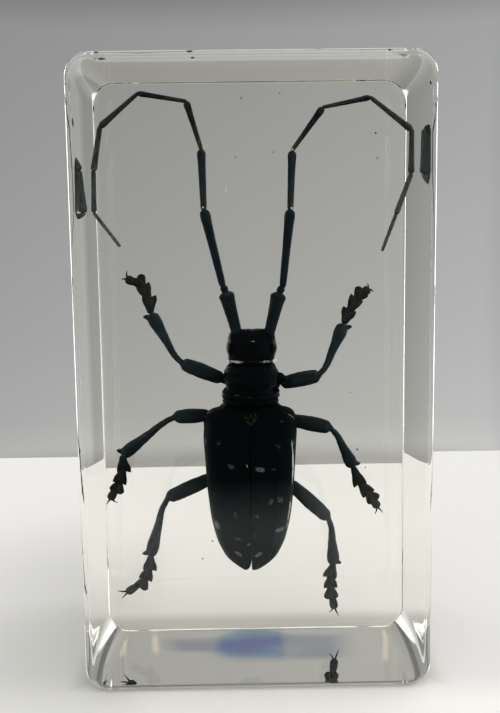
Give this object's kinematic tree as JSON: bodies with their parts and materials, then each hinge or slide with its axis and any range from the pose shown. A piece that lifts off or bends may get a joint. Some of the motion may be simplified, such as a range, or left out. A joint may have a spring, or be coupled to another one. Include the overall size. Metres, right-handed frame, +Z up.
{
  "type": "longhorn beetle in a resin block",
  "caption": "Clear rectangular resin block with rounded edges that stands on its short end, holding a dried longhorn beetle seen from above with spread legs and antennae.",
  "frame": {"origin": "middle of the face that the block stands on", "axes": "+Z up along the block's height, +X along its width, +Y along its thickness; the beetle's back faces -Y and its head points to +Z"},
  "size_m": [0.0406, 0.026, 0.073],
  "materials": {
    "clear_resin": "clear cast resin, polished, faintly warm where it is thick",
    "black_chitin": "blue-black insect shell, finely pitted, satin, with small pale hair spots"
  },
  "bodies": {
    "root": {"resin_front": "clear_resin", "resin_back": "clear_resin", "beetle": "black_chitin"}
  },
  "joints": []
}
